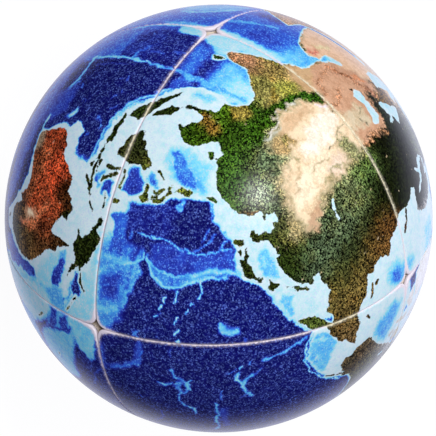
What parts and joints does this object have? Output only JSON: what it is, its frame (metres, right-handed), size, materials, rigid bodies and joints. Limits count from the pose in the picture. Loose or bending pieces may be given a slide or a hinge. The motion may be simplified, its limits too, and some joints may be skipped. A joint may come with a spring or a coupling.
{
  "type": "stress ball",
  "caption": "Soft foam squeeze ball printed as a realistic globe, its cover made of octant panels bonded to a round foam core, with small star-shaped pits where the panel corners meet.",
  "frame": {"origin": "centre of the ball", "axes": "+Z through the printed north pole, which lies at a four-panel pit; +X through the equator pit at 75 degrees east; +Y through the equator pit at 165 degrees east"},
  "size_m": [0.063, 0.063, 0.063],
  "materials": {
    "printed_skin": "satin polyurethane leatherette with a fine embossed grain, printed with a satellite-style globe; the bare edges are cream",
    "backing_foam": "matte cream closed-cell polyurethane foam, fine cells",
    "core_foam": "matte tan slow-rebound polyurethane foam, fine cells"
  },
  "bodies": {
    "south_half": {"foam_core": "core_foam", "skin_south_asia": "printed_skin", "skin_south_pacific": "printed_skin", "skin_south_america": "printed_skin", "skin_south_africa": "printed_skin", "backing_south_asia": "backing_foam", "backing_south_pacific": "backing_foam", "backing_south_america": "backing_foam", "backing_south_africa": "backing_foam"},
    "north_half": {"skin_north_asia": "printed_skin", "skin_north_pacific": "printed_skin", "skin_north_america": "printed_skin", "skin_north_africa": "printed_skin", "backing_north_asia": "backing_foam", "backing_north_pacific": "backing_foam", "backing_north_america": "backing_foam", "backing_north_africa": "backing_foam"}
  },
  "joints": [
    {"name": "squeeze", "type": "slide", "parent": "south_half", "child": "north_half", "axis": [0, 0, -1], "range_m": [0, 0.021], "stiffness_N_per_m": 1500, "deforming": ["foam_core", "skin_south_asia", "skin_south_pacific", "skin_south_america", "skin_south_africa", "backing_south_asia", "backing_south_pacific", "backing_south_america", "backing_south_africa", "skin_north_asia", "skin_north_pacific", "skin_north_america", "skin_north_africa", "backing_north_asia", "backing_north_pacific", "backing_north_america", "backing_north_africa"]}
  ]
}
